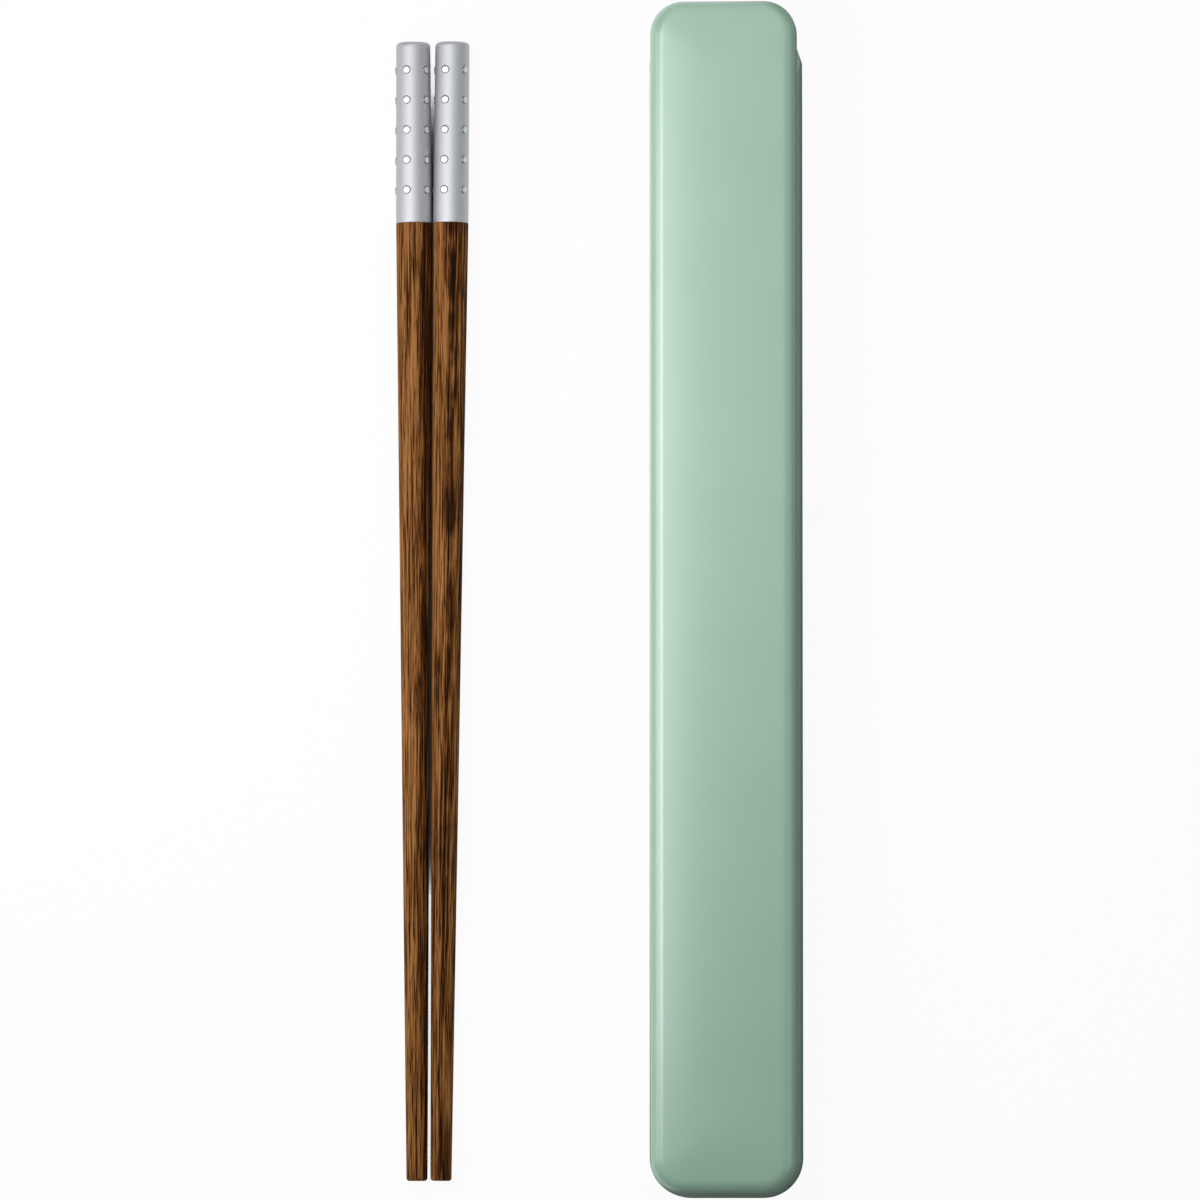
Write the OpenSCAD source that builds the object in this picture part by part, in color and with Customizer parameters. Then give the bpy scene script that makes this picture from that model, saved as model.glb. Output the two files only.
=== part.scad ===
// Portable chopstick case: a slide-lid hard case with its pair of capped chopsticks lying beside it.
// All sizes are in millimetres. +Y is the end that the lid slides off and +Z is up. The origin lies on the
// flat face under the tray, below the middle of the closed case.

/* [Case] */
// Length of the closed case, from the tray's back end to the lid's pull end
case_l = 203.5; // [180:0.1:240]
// Width of the tray, its widest measure
tray_w = 25.8; // [23:0.2:34]
// Height of the closed case
case_h = 17; // [15:0.5:24]
// Height of the tray's rim, where the lid rests
tray_h = 11.3; // [10.5:0.1:13]
// Thickness of the tray's walls
tray_wall = 1.7; // [1.4:0.1:1.8]
// Thickness of the tray's floor
floor_t = 1.6; // [1.4:0.1:2.2]
// Corner radius of the tray seen from above
tray_corner_r = 6.8; // [5.5:0.1:8]
// Radius round the tray's bottom edge
foot_r = 2; // [1:0.1:2.6]
// Height of the curved shoulder below the rim
shoulder_h = 2.8; // [2:0.1:3.4]
// How far the shoulder draws in, from the widest line to the lid
shoulder_in = 0.44; // [0.36:0.02:0.6]

/* [Lid] */
// Thickness of the lid's side and end walls
lid_wall = 1.7; // [1.6:0.1:1.9]
// Thickness of the lid's roof
roof_t = 1.5; // [1.2:0.1:2.2]
// Radius round the lid's top edge
lid_edge_r = 2.6; // [1.6:0.1:3]
// Corner radius of the lid seen from above
lid_corner_r = 5.7; // [5:0.1:6.2]
// Thickness of the two runners inside the lid
runner_w = 1.1; // [0.9:0.1:1.4]
// How far the bead on each runner stands out
bead_rise = 0.45; // [0.3:0.05:0.5]
// Height of the bead on each runner
bead_h = 0.8; // [0.6:0.1:1]
// Thickness of the wall that closes the pull end inside the lid
closer_t = 1.4; // [1:0.1:2]

/* [Pull end] */
// How far the lid stands out past the tray's nose, for fingers to pull on
lid_overhang = 3; // [2:0.1:4]
// Height of the tray's lowered nose, under the lid's runners
nose_h = 8.1; // [7.6:0.1:8.4]
// Length of the ramp from the rim down to the nose
ramp_l = 3; // [2:0.1:6]
// Distance from the lid's pull end back to where the finger flats begin
grip_l = 9.4; // [8.4:0.1:13]
// Angle of the finger flats on both sides of the nose
grip_angle = 20; // [12:1:26]

/* [Rests] */
// Length of each soft rest along the case
rest_l = 9; // [6:0.5:14]
// Height of each rest's top above the floor
rest_h = 3; // [2.4:0.1:3.4]
// Thickness of the soft material below a groove
rest_web = 0.9; // [0.6:0.1:1.2]
// Distance between the groove centres under the caps
head_groove_pitch = 8; // [7.4:0.2:9]
// Distance between the groove centres under the tips
tip_groove_pitch = 6; // [5:0.2:8]
// Diameter of the two pegs that hold a rest to the floor
peg_d = 2.4; // [1.8:0.1:3]
// Length of a peg, which goes part of the way through the floor
peg_l = 0.8; // [0.5:0.1:0.9]
// Distance from the tray's inner back end to the middle of the rest under the tips
tip_rest_in = 14; // [10:0.5:24]
// Free length between the caps' closed ends and the tray's inner nose, for the rest under the caps
head_play = 3; // [2:0.5:6]

/* [Chopsticks] */
// Length of a chopstick with its cap
stick_l = 195; // [180:1:196]
// Outer diameter of the metal cap, and of the wood where the cap begins
cap_d = 6.1; // [5.4:0.1:6.6]
// Length of the metal cap
cap_l = 31.1; // [29:0.1:40]
// Wall thickness of the metal cap
cap_wall = 0.6; // [0.5:0.05:0.8]
// Radius round the edge of the cap's closed end
cap_edge_r = 0.5; // [0.2:0.1:0.6]
// Diameter of the wood at the tip
tip_d = 3.6; // [2.6:0.1:4.2]
// Radius round the edge of the tip
tip_edge_r = 0.5; // [0.2:0.1:0.8]

/* [Cap studs] */
// Diameter of one domed stud
stud_d = 1.5; // [1:0.1:1.7]
// How far a stud stands out of the cap
stud_rise = 0.15; // [0.1:0.05:0.25]
// How deep a stud is let into the cap
stud_seat = 0.28; // [0.2:0.02:0.32]
// Studs in one row along the cap
stud_count = 5; // [3:1:5]
// Rows of studs round the cap
stud_rows = 5; // [3:1:6]
// Distance between two studs of a row
stud_pitch = 5.16; // [3:0.02:5.4]
// Distance from the cap's closed end to the first stud
stud_first = 4.85; // [2.5:0.05:5]
// Turn of the first row to the left of straight up, in degrees
stud_turn = 19; // [0:1:30]

/* [Lying beside the case] */
// Distance from the case's middle line to the left chopstick, at its cap
pair_x = 53.8; // [40:0.1:70]
// How far the left chopstick's tip lies nearer to the case than its cap
pair_lean = 0.7; // [0:0.05:1]
// Distance along the case from its middle to the closed ends of the caps
pair_head_y = 96.2; // [60:0.2:110]

/* [Fits] */
// Clearance between the lid's runners and the tray
slide_gap = 0.2; // [0.15:0.01:0.25]
// Clearance at the seam between the rim and the lid
seam_gap = 0.2; // [0.15:0.01:0.3]
// Clearance between the lowered nose and the lid's runners
nose_gap = 0.3; // [0.2:0.05:0.4]
// Glue clearance round a wooden spigot and a peg
glue_gap = 0.05; // [0.03:0.01:0.1]
// Clearance between a stud of one chopstick and the cap of the other
pair_gap = 0.15; // [0.1:0.05:1]
// Gap between the two tips
tip_gap = 0.5; // [0.3:0.05:1.5]

/* [Hidden] */
$fn = 48;

sage = [0.60, 0.72, 0.65];
soft_grey = [0.55, 0.57, 0.56];
stained_wood = [0.40, 0.25, 0.14];
aluminium = [0.78, 0.78, 0.80];
polished = [0.92, 0.92, 0.94];

over = 1;
coarse_steps = 4;
fine_steps = 6;
edge_steps = 8;
half_l = case_l / 2;

// The tray
half_w = tray_w / 2;
tray_back = -half_l;
tray_front = half_l - lid_overhang;
inner_half = half_w - tray_wall;
inner_r = tray_corner_r - tray_wall;
shoulder_z = tray_h - shoulder_h;
shoulder_r = (shoulder_h * shoulder_h + shoulder_in * shoulder_in) / (2 * shoulder_in);
grip_y = half_l - grip_l;
ramp_y = grip_y - ramp_l;
inside_foot_r = 1.2;

// The lid
lid_half = half_w - shoulder_in;
lid_back = tray_back + shoulder_in;
lid_front = half_l;
lid_z = tray_h + seam_gap;
roof_z = case_h - roof_t;
lid_inner_r = lid_corner_r - lid_wall;
least_edge_r = 0.3;
lid_inner_edge_r = max(least_edge_r, lid_edge_r - lid_wall);

// The runners, their beads and the grooves that they slide in
runner_out = inner_half - slide_gap;
runner_in = runner_out - runner_w;
runner_z = nose_h + nose_gap;
corner_play = 0.5;
runner_back = tray_back + tray_corner_r + corner_play;
closer_set = 0.1;
closer_y = tray_front - tray_wall + closer_set;
root_z = roof_z + roof_t / 4;
bead_out = runner_out + bead_rise;
bead_lift = 0.3;
bead_z = runner_z + bead_lift;
bead_slope = 0.2;
groove_out = bead_out + slide_gap;
groove_z = bead_z - slide_gap;
groove_h = bead_h + 2 * slide_gap;
groove_play_l = 0.7;
groove_back = runner_back - groove_play_l;

// The rests
rest_side_gap = 0.2;
rest_half = inner_half - inside_foot_r - rest_side_gap;
head_rest_y = tray_front - tray_wall - head_play - cap_l / 2;
tip_rest_y = tray_back + tray_wall + tip_rest_in;
rest_play = 0.1;
peg_pitch = 2 * (rest_half - peg_d);

// The chopsticks
cap_r = cap_d / 2;
tip_r = tip_d / 2;
bore_r = cap_r - cap_wall;
spigot_r = bore_r - glue_gap;
spigot_play = 0.3;
spigot_end = cap_wall + spigot_play;
stud_r = stud_d / 2;
stud_floor = cap_r - stud_seat;
stud_top = cap_r + stud_rise;
stud_dome_r = (stud_r * stud_r + stud_rise * stud_rise) / (2 * stud_rise);
stud_step = 360 / stud_rows;

// A chopstick lies on its tip and on the stud or the cap edge that reaches lowest.
last_stud = stud_first + (stud_count - 1) * stud_pitch;
stud_share = last_stud / stick_l;
cap_share = cap_l / stick_l;
head_z_stud = (stud_top - tip_r * stud_share) / (1 - stud_share);
head_z_cap = (cap_r - tip_r * cap_share) / (1 - cap_share);
head_z = max(head_z_stud, head_z_cap);

// The two chopsticks come together towards their tips, so their caps keep clear at the last stud.
tip_step = tip_d + tip_gap;
stud_clear = cap_d + stud_rise + pair_gap;
head_step = (stud_clear - tip_step * stud_share) / (1 - stud_share);

left_head = [-pair_x, pair_head_y, head_z];
right_head = [-pair_x + head_step, pair_head_y, head_z];
left_tip_x = -pair_x + pair_lean;
right_tip_x = left_tip_x + tip_step;

// Builds a rounded bar from one 2D edge profile, which is drawn from the corner's axis at x = 0 out to
// the face at x = r. The profile is turned round four corners, drawn along four sides, and filled.
module rounded_bar(half, back, front, r, z0, z1) {
  run = front - back - 2 * r;
  span = 2 * (half - r);
  translate([half - r, front - r, 0]) rotate_extrude(angle = 90) children();
  translate([r - half, front - r, 0]) rotate([0, 0, 90]) rotate_extrude(angle = 90) children();
  translate([r - half, back + r, 0]) rotate([0, 0, 180]) rotate_extrude(angle = 90) children();
  translate([half - r, back + r, 0]) rotate([0, 0, 270]) rotate_extrude(angle = 90) children();
  translate([half - r, front - r, 0]) rotate([90, 0, 0]) linear_extrude(height = run) children();
  translate([r - half, back + r, 0]) rotate([90, 0, 180]) linear_extrude(height = run) children();
  translate([r - half, front - r, 0]) rotate([90, 0, 90]) linear_extrude(height = span) children();
  translate([half - r, back + r, 0]) rotate([90, 0, 270]) linear_extrude(height = span) children();
  translate([r - half, back + r, z0]) cube([span, run, z1 - z0]);
}

// Points of a quarter round from angle a0 to angle a1, about a centre.
function round_points(centre, r, a0, a1, steps) = [
  for (i = [0 : steps])
    let (a = a0 + (a1 - a0) * i / steps)
    centre + r * [cos(a), sin(a)]
];

// Edge profile of the tray's outside: rounded foot, upright wall, curved shoulder.
module tray_profile() {
  shoulder_turn = asin(shoulder_h / shoulder_r);
  polygon(concat(
    [[0, 0]],
    round_points([tray_corner_r - foot_r, foot_r], foot_r, -90, 0, fine_steps),
    round_points([tray_corner_r - shoulder_r, shoulder_z], shoulder_r, 0, shoulder_turn, coarse_steps),
    [[0, tray_h]]
  ));
}

// Edge profile of the space inside the tray, open at the top.
module tray_space_profile() {
  polygon(concat(
    [[0, floor_t]],
    round_points([inner_r - inside_foot_r, floor_t + inside_foot_r], inside_foot_r, -90, 0, coarse_steps),
    [[inner_r, tray_h + over], [0, tray_h + over]]
  ));
}

// Edge profile of the lid's outside, with its rounded top edge.
module lid_profile() {
  polygon(concat(
    [[0, lid_z], [lid_corner_r, lid_z]],
    round_points([lid_corner_r - lid_edge_r, case_h - lid_edge_r], lid_edge_r, 0, 90, edge_steps),
    [[0, case_h]]
  ));
}

// Edge profile of the space inside the lid, open at the bottom.
module lid_space_profile() {
  polygon(concat(
    [[0, lid_z - over], [lid_inner_r, lid_z - over]],
    round_points([lid_inner_r - lid_inner_edge_r, roof_z - lid_inner_edge_r], lid_inner_edge_r,
      0, 90, coarse_steps),
    [[0, roof_z]]
  ));
}

// The finger flat that slants in along one side of the tray's nose.
module finger_flat() {
  translate([half_w, grip_y, -over])
    rotate([0, 0, grip_angle])
      cube([tray_w, 4 * grip_l, tray_h + 2 * over]);
}

// What is taken off above the nose, so that the lid's runners can slide out over it.
module nose_cut() {
  rotate([90, 0, 90])
    translate([0, 0, -tray_w])
      linear_extrude(height = 2 * tray_w)
        polygon([
          [ramp_y, tray_h],
          [grip_y, nose_h],
          [half_l, nose_h],
          [half_l, tray_h + over],
          [ramp_y, tray_h + over]
        ]);
}

// The long groove inside one wall, for the bead of a runner.
module bead_groove() {
  translate([inner_half - over, groove_back, groove_z])
    cube([groove_out - inner_half + over, half_l - groove_back, groove_h]);
}

// The sockets in the floor for the pegs of one rest.
module peg_sockets(y) {
  for (side = [-1, 1])
    translate([side * peg_pitch / 2, y, floor_t - peg_l - glue_gap])
      cylinder(d = peg_d + 2 * glue_gap, h = peg_l + over);
}

module base_tray() {
  color(sage)
    difference() {
      rounded_bar(half_w, tray_back, tray_front, tray_corner_r, 0, tray_h) tray_profile();
      rounded_bar(inner_half, tray_back + tray_wall, tray_front - tray_wall, inner_r,
        floor_t, tray_h + over) tray_space_profile();
      finger_flat();
      mirror([1, 0, 0]) finger_flat();
      nose_cut();
      bead_groove();
      mirror([1, 0, 0]) bead_groove();
      peg_sockets(head_rest_y);
      peg_sockets(tip_rest_y);
    }
}

// One runner under the lid's side, with the bead that hooks into the tray's groove.
module runner() {
  translate([0, closer_y + closer_t, 0])
    rotate([90, 0, 0])
      linear_extrude(height = closer_y + closer_t - runner_back)
        polygon([
          [runner_in, runner_z],
          [runner_out, runner_z],
          [runner_out, bead_z],
          [bead_out, bead_z + bead_slope],
          [bead_out, bead_z + bead_h - bead_slope],
          [runner_out, bead_z + bead_h],
          [runner_out, root_z],
          [runner_in, root_z]
        ]);
}

// The cross wall that closes the case above the nose.
module closer() {
  translate([-runner_out, closer_y, runner_z])
    cube([2 * runner_out, closer_t, root_z - runner_z]);
}

module slide_lid() {
  color(sage)
    union() {
      difference() {
        rounded_bar(lid_half, lid_back, lid_front, lid_corner_r, lid_z, case_h) lid_profile();
        rounded_bar(lid_half - lid_wall, lid_back + lid_wall, lid_front - lid_wall, lid_inner_r,
          lid_z - over, roof_z) lid_space_profile();
      }
      runner();
      mirror([1, 0, 0]) runner();
      closer();
    }
}

// A soft rest with two grooves of radius r, and two pegs in the floor.
module rest(y, r, pitch) {
  translate([0, y, floor_t])
    union() {
      rotate([90, 0, 0])
        linear_extrude(height = rest_l, center = true)
          difference() {
            translate([-rest_half, 0]) square([2 * rest_half, rest_h]);
            for (side = [-1, 1])
              translate([side * pitch / 2, rest_web + r]) circle(r = r);
          }
      for (side = [-1, 1])
        translate([side * peg_pitch / 2, 0, -peg_l])
          cylinder(d = peg_d, h = peg_l + rest_web / 2);
    }
}

module head_rest() {
  color(soft_grey) rest(head_rest_y, cap_r + stud_rise + rest_play, head_groove_pitch);
}

module tip_rest() {
  color(soft_grey) rest(tip_rest_y, tip_r + 2 * rest_play, tip_groove_pitch);
}

// Lays a chopstick, drawn upright from its cap's closed end, along the line from its head to its tip.
module lay(head, tip_x) {
  side = tip_x - head.x;
  drop = head.z - tip_r;
  along = sqrt(stick_l * stick_l - side * side - drop * drop);
  translate(head)
    rotate([90 + asin(drop / stick_l), 0, atan(side / along)])
      children();
}

// The wood, from the spigot inside the cap to the rounded tip.
module shaft() {
  rotate_extrude()
    polygon(concat(
      [[0, spigot_end], [spigot_r, spigot_end], [spigot_r, cap_l], [cap_r, cap_l]],
      round_points([tip_r - tip_edge_r, stick_l - tip_edge_r], tip_edge_r, 0, 90, fine_steps),
      [[0, stick_l]]
    ));
}

// Places one stud or its seat at every point of the pattern.
module stud_pattern() {
  for (row = [0 : stud_rows - 1])
    for (i = [0 : stud_count - 1])
      translate([0, 0, stud_first + i * stud_pitch])
        rotate([0, 0, stud_turn + row * stud_step])
          rotate([-90, 0, 0])
            children();
}

// The drawn metal cap, closed at the end, with a seat for each stud.
module cap() {
  difference() {
    rotate_extrude()
      polygon(concat(
        [[0, 0]],
        round_points([cap_r - cap_edge_r, cap_edge_r], cap_edge_r, -90, 0, fine_steps),
        [[cap_r, cap_l], [bore_r, cap_l], [bore_r, cap_wall], [0, cap_wall]]
      ));
    stud_pattern() translate([0, 0, stud_floor]) cylinder(r = stud_r, h = over);
  }
}

// The domed studs of one cap.
module studs() {
  peg_r = stud_r - glue_gap / 2;
  reach = asin(peg_r / stud_dome_r);
  stud_pattern()
    rotate_extrude()
      polygon(concat(
        [[0, stud_floor], [peg_r, stud_floor]],
        round_points([0, stud_top - stud_dome_r], stud_dome_r, 90 - reach, 90, coarse_steps)
      ));
}

module left_shaft() {
  color(stained_wood) lay(left_head, left_tip_x) shaft();
}

module left_cap() {
  color(aluminium) lay(left_head, left_tip_x) cap();
}

module left_cap_studs() {
  color(polished) lay(left_head, left_tip_x) studs();
}

module right_shaft() {
  color(stained_wood) lay(right_head, right_tip_x) shaft();
}

module right_cap() {
  color(aluminium) lay(right_head, right_tip_x) cap();
}

module right_cap_studs() {
  color(polished) lay(right_head, right_tip_x) studs();
}

base_tray();
slide_lid();
head_rest();
tip_rest();
left_shaft();
left_cap();
left_cap_studs();
right_shaft();
right_cap();
right_cap_studs();
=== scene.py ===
"""Looks of a portable chopstick case and its pair of capped chopsticks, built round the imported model.

Sizes are written in millimetres and put into the meshes in metres. +X is the right of the photograph,
+Y its top and the way that the lid slides, and +Z is up out of the lid.
"""

import logging
import math
from dataclasses import dataclass
from enum import Enum

import bmesh
import bpy
import numpy as np
from mathutils import Matrix, Vector


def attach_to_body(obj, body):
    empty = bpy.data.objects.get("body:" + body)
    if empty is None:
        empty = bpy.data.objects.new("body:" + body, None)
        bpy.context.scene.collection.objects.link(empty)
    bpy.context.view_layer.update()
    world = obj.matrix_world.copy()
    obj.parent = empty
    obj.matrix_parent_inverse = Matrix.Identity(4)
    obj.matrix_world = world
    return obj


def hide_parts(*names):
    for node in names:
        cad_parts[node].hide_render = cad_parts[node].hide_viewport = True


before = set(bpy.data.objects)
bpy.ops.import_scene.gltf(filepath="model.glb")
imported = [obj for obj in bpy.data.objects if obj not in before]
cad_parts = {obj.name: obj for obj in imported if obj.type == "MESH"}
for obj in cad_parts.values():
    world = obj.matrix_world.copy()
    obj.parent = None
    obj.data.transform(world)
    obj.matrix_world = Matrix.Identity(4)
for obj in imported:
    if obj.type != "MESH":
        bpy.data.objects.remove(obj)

Array = np.ndarray
Piece = bpy.types.Object
Material = bpy.types.Material
Socket = bpy.types.NodeSocket
Pair = tuple[float, float]
Triple = tuple[float, float, float]
MM = 0.001
LOG = logging.getLogger("chopstick_case")


class Body(Enum):
    """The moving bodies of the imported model."""

    CASE = "case"
    LID = "lid"
    LEFT = "left_chopstick"
    RIGHT = "right_chopstick"


class Slot(Enum):
    """The record's material slots."""

    SHELL = "case_shell"
    REST = "soft_rest"
    WOOD = "stained_wood"
    CAP = "cap_metal"
    STUD = "stud_metal"


class Side(Enum):
    """Left or right in the photograph."""

    LEFT = "left"
    RIGHT = "right"


class Op(Enum):
    """Arithmetic of a Math node."""

    ADD = "ADD"
    SUBTRACT = "SUBTRACT"
    MULTIPLY = "MULTIPLY"
    DIVIDE = "DIVIDE"
    POWER = "POWER"
    MINIMUM = "MINIMUM"
    ABSOLUTE = "ABSOLUTE"


Finishes = dict[Slot, Material]


# Mesh helpers


def grid_quads(rows: int, columns: int) -> Array:
    """Quads of a grid whose last column joins its first.

    Args:
        rows: Number of rows of points.
        columns: Number of points in a row.

    Returns:
        Point numbers of each quad, row after row.
    """
    i = np.arange(rows - 1)[:, None] * columns
    j = np.arange(columns)[None, :]
    k = (j + 1) % columns
    corners = np.broadcast_arrays(i + j, i + k, i + columns + k, i + columns + j)
    return np.stack(corners, axis=-1).reshape(-1, 4)


def make_piece(name: str, points: Array, faces: list[list[int]]) -> Piece:
    """Puts a closed surface into a new object, with its seams and poles merged and faces outwards.

    Args:
        name: Name of the piece.
        points: Points in millimetres, in the row frame, in rows of three.
        faces: Point numbers of each face.

    Returns:
        The object, at the origin.
    """
    mesh = bpy.data.meshes.new(name)
    mesh.from_pydata((points.reshape(-1, 3) * MM).tolist(), [], faces)
    bm = bmesh.new()
    bm.from_mesh(mesh)
    bmesh.ops.remove_doubles(bm, verts=bm.verts, dist=1e-6)
    bmesh.ops.dissolve_degenerate(bm, dist=1e-7, edges=bm.edges)
    bmesh.ops.recalc_face_normals(bm, faces=bm.faces)
    bm.to_mesh(mesh)
    bm.free()
    mesh.shade_smooth()
    mesh.set_sharp_from_angle(angle=math.radians(48))
    piece = bpy.data.objects.new(name, mesh)
    bpy.context.scene.collection.objects.link(piece)
    return piece


def loop_piece(name: str, rows: Array) -> Piece:
    """Makes a piece from closed rows of points that follow one another, as in a lathe or a loft."""
    count, columns = rows.shape[:2]
    return make_piece(name, rows, grid_quads(count, columns).tolist())


def prism_piece(name: str, profile: Array, y0: float, y1: float, edge: float) -> Piece:
    """Carries a closed profile straight along Y and rounds off both ends.

    The profile is kept full between the ends and drawn in by the edge size at each end face, along
    the mean of the two side normals at every point.

    Args:
        name: Name of the piece.
        profile: Points (x, z) in millimetres, anticlockwise seen along +Y.
        y0: Where it begins.
        y1: Where it ends.
        edge: Size of the rounded-off edge.

    Returns:
        The object.
    """
    side = np.roll(profile, -1, axis=0) - profile
    normal = np.stack([side[:, 1], -side[:, 0]], axis=1)
    normal /= np.linalg.norm(normal, axis=1, keepdims=True)
    both = normal + np.roll(normal, 1, axis=0)
    both /= np.maximum((both * both).sum(axis=1, keepdims=True) / 2, 0.3)
    cos, sin = arc(90, 0, 3)
    inset, reach = edge * (1 - cos), edge * (1 - sin)
    insets = np.concatenate([inset, inset[::-1]])
    ys = np.concatenate([y0 + reach, y1 - reach[::-1]])
    flat = profile[None] - insets[:, None, None] * both[None]
    along = np.broadcast_to(ys[:, None], flat.shape[:2])
    rows = np.stack([flat[..., 0], along, flat[..., 1]], axis=-1)
    count, columns = rows.shape[:2]
    faces = grid_quads(count, columns).tolist()
    faces += [list(range(columns)), list(range((count - 1) * columns, count * columns))[::-1]]
    return make_piece(name, rows, faces)


def arc(a0: float, a1: float, steps: int) -> tuple[Array, Array]:
    """Cosines and sines of the angles from a0 to a1 degrees in equal steps."""
    turn = np.radians(np.linspace(a0, a1, steps + 1))
    return np.cos(turn), np.sin(turn)


def soft_step(s: Array, blend: float) -> Array:
    """Ramp from 0 to 1 over s from 0 to 1, with a parabola at each bend.

    Args:
        s: Places, 0 at the foot of the ramp and 1 at its head.
        blend: How wide a bend is to either side.

    Returns:
        The ramp's height at each place.
    """
    def bend(v: Array) -> Array:
        """Zero below the bend, v above it, and a parabola between."""
        return np.where(v < -blend, 0.0, np.where(v > blend, v, (v + blend) ** 2 / (4 * blend)))
    return bend(s) - bend(s - 1)


def attach(piece: Piece, finishes: Finishes, body: Body, slot: Slot, *nodes: str) -> None:
    """Gives a piece its finish and its place in the model.

    Args:
        piece: The piece.
        finishes: The material of each slot.
        body: The body that it rides on.
        slot: The record's slot for its finish.
        nodes: The solids that it stands for.
    """
    piece.data.materials.append(finishes[slot])
    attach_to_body(piece, body.value)
    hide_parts(*nodes)
    LOG.info("%s: %d faces on %s", piece.name, len(piece.data.polygons), body.value)


# Finishes

NOISE_SPAN = (0.3, 0.7)  # Noise seldom leaves this range


class ShaderSheet:
    """One material's node tree, with short ways to add and join nodes."""

    def __init__(self, name: str) -> None:
        """Starts a material with a Principled shader.

        Args:
            name: Name of the material.
        """
        self.material = bpy.data.materials.new(name)
        self.material.use_nodes = True
        self.tree = self.material.node_tree
        self.shader = self.tree.nodes["Principled BSDF"]

    def add(self, kind: str, inputs: dict | None = None, **settings: object) -> bpy.types.Node:
        """Adds a node.

        Args:
            kind: Blender's type name of the node.
            inputs: Values for its input sockets, by name or number.
            settings: Values for its own properties.

        Returns:
            The new node.
        """
        node = self.tree.nodes.new(kind)
        for key, value in settings.items():
            setattr(node, key, value)
        for key, value in (inputs or {}).items():
            node.inputs[key].default_value = value
        return node

    def join(self, out: Socket, into: Socket) -> None:
        """Links an output socket to an input socket."""
        self.tree.links.new(out, into)

    def set(self, **values: float) -> None:
        """Sets sockets of the shader; an underscore in a name stands for a space."""
        for key, value in values.items():
            self.shader.inputs[key.replace("_", " ")].default_value = value

    def noise(self, vector: Socket, scale: float, detail: float, rough: float = 0.5) -> Socket:
        """Adds noise.

        Args:
            vector: Coordinates.
            scale: How fine it is.
            detail: Number of finer layers.
            rough: Strength of the finer layers.

        Returns:
            Its value from 0 to 1.
        """
        node = self.add("ShaderNodeTexNoise", {"Scale": scale, "Detail": detail, "Roughness": rough})
        self.join(vector, node.inputs["Vector"])
        return node.outputs["Fac"]

    def spread(self, vector: Socket, scale: Triple) -> Socket:
        """Scales coordinates by a different factor along each axis.

        Args:
            vector: Coordinates.
            scale: The three factors.

        Returns:
            The scaled coordinates.
        """
        node = self.add("ShaderNodeMapping", {"Scale": scale})
        self.join(vector, node.inputs["Vector"])
        return node.outputs["Vector"]

    def span(self, value: Socket, low: float, high: float, to_low: float, to_high: float) -> Socket:
        """Maps a value from one range to another and keeps it inside.

        Args:
            value: The value.
            low: Start of the first range.
            high: End of the first range.
            to_low: What the start becomes.
            to_high: What the end becomes.

        Returns:
            The mapped value.
        """
        node = self.add("ShaderNodeMapRange", {1: low, 2: high, 3: to_low, 4: to_high})
        self.join(value, node.inputs[0])
        return node.outputs[0]

    def ramp(self, value: Socket, stops: list[tuple[float, Triple]]) -> Socket:
        """Colours along a value.

        Args:
            value: The value.
            stops: Positions, each with its linear colour.

        Returns:
            The colour.
        """
        node = self.add("ShaderNodeValToRGB")
        elements = node.color_ramp.elements
        while len(elements) < len(stops):
            elements.new(0.5)
        for element, (place, colour) in zip(elements, stops):
            element.position = place
            element.color = (*colour, 1.0)
        self.join(value, node.inputs["Fac"])
        return node.outputs["Color"]

    def sums(self, kind: Op, a: Socket, b: Socket | float) -> Socket:
        """Arithmetic on two values.

        Args:
            kind: The operation.
            a: First value.
            b: Second value, a socket or a number.

        Returns:
            The result.
        """
        node = self.add("ShaderNodeMath", operation=kind.value)
        self.join(a, node.inputs[0])
        if isinstance(b, float):
            node.inputs[1].default_value = b
        else:
            self.join(b, node.inputs[1])
        return node.outputs[0]

    def bump(self, height: Socket, strength: float, distance: float) -> None:
        """Raises the surface by a height.

        Args:
            height: The height from 0 to 1.
            strength: Share of the relief that is used.
            distance: What a height of 1 stands for, in metres.
        """
        node = self.add("ShaderNodeBump", {"Strength": strength, "Distance": distance})
        self.join(height, node.inputs["Height"])
        self.join(node.outputs["Normal"], self.shader.inputs["Normal"])


@dataclass(frozen=True)
class SatinPlastic:
    """Moulded plastic with a fine satin grain."""

    name: str = "satin_sage_plastic"
    light: Triple = (0.312, 0.505, 0.384)
    dark: Triple = (0.296, 0.487, 0.366)
    cloud: float = 55.0
    grain: float = 5200.0
    roughness: Pair = (0.40, 0.46)
    gloss: float = 0.2
    coat_roughness: float = 0.24
    coat_ior: float = 1.9
    relief: Pair = (0.10, 0.00002)

    def material(self) -> Material:
        """Cloudy colour over centimetres, a grain of a fifth of a millimetre, and a clear skin.

        Returns:
            The material.
        """
        sheet = ShaderSheet(self.name)
        place = sheet.add("ShaderNodeTexCoord").outputs["Object"]
        cloud = sheet.noise(place, self.cloud, 2.0)
        grain = sheet.noise(place, self.grain, 3.0, 0.6)
        colour = sheet.ramp(cloud, [(0.3, self.dark), (0.7, self.light)])
        sheet.join(colour, sheet.shader.inputs["Base Color"])
        sheet.join(sheet.span(grain, *NOISE_SPAN, *self.roughness), sheet.shader.inputs["Roughness"])
        sheet.set(Specular_IOR_Level=self.gloss, Coat_Weight=1.0)
        sheet.set(Coat_Roughness=self.coat_roughness, Coat_IOR=self.coat_ior)
        sheet.bump(grain, *self.relief)
        return sheet.material


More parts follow.
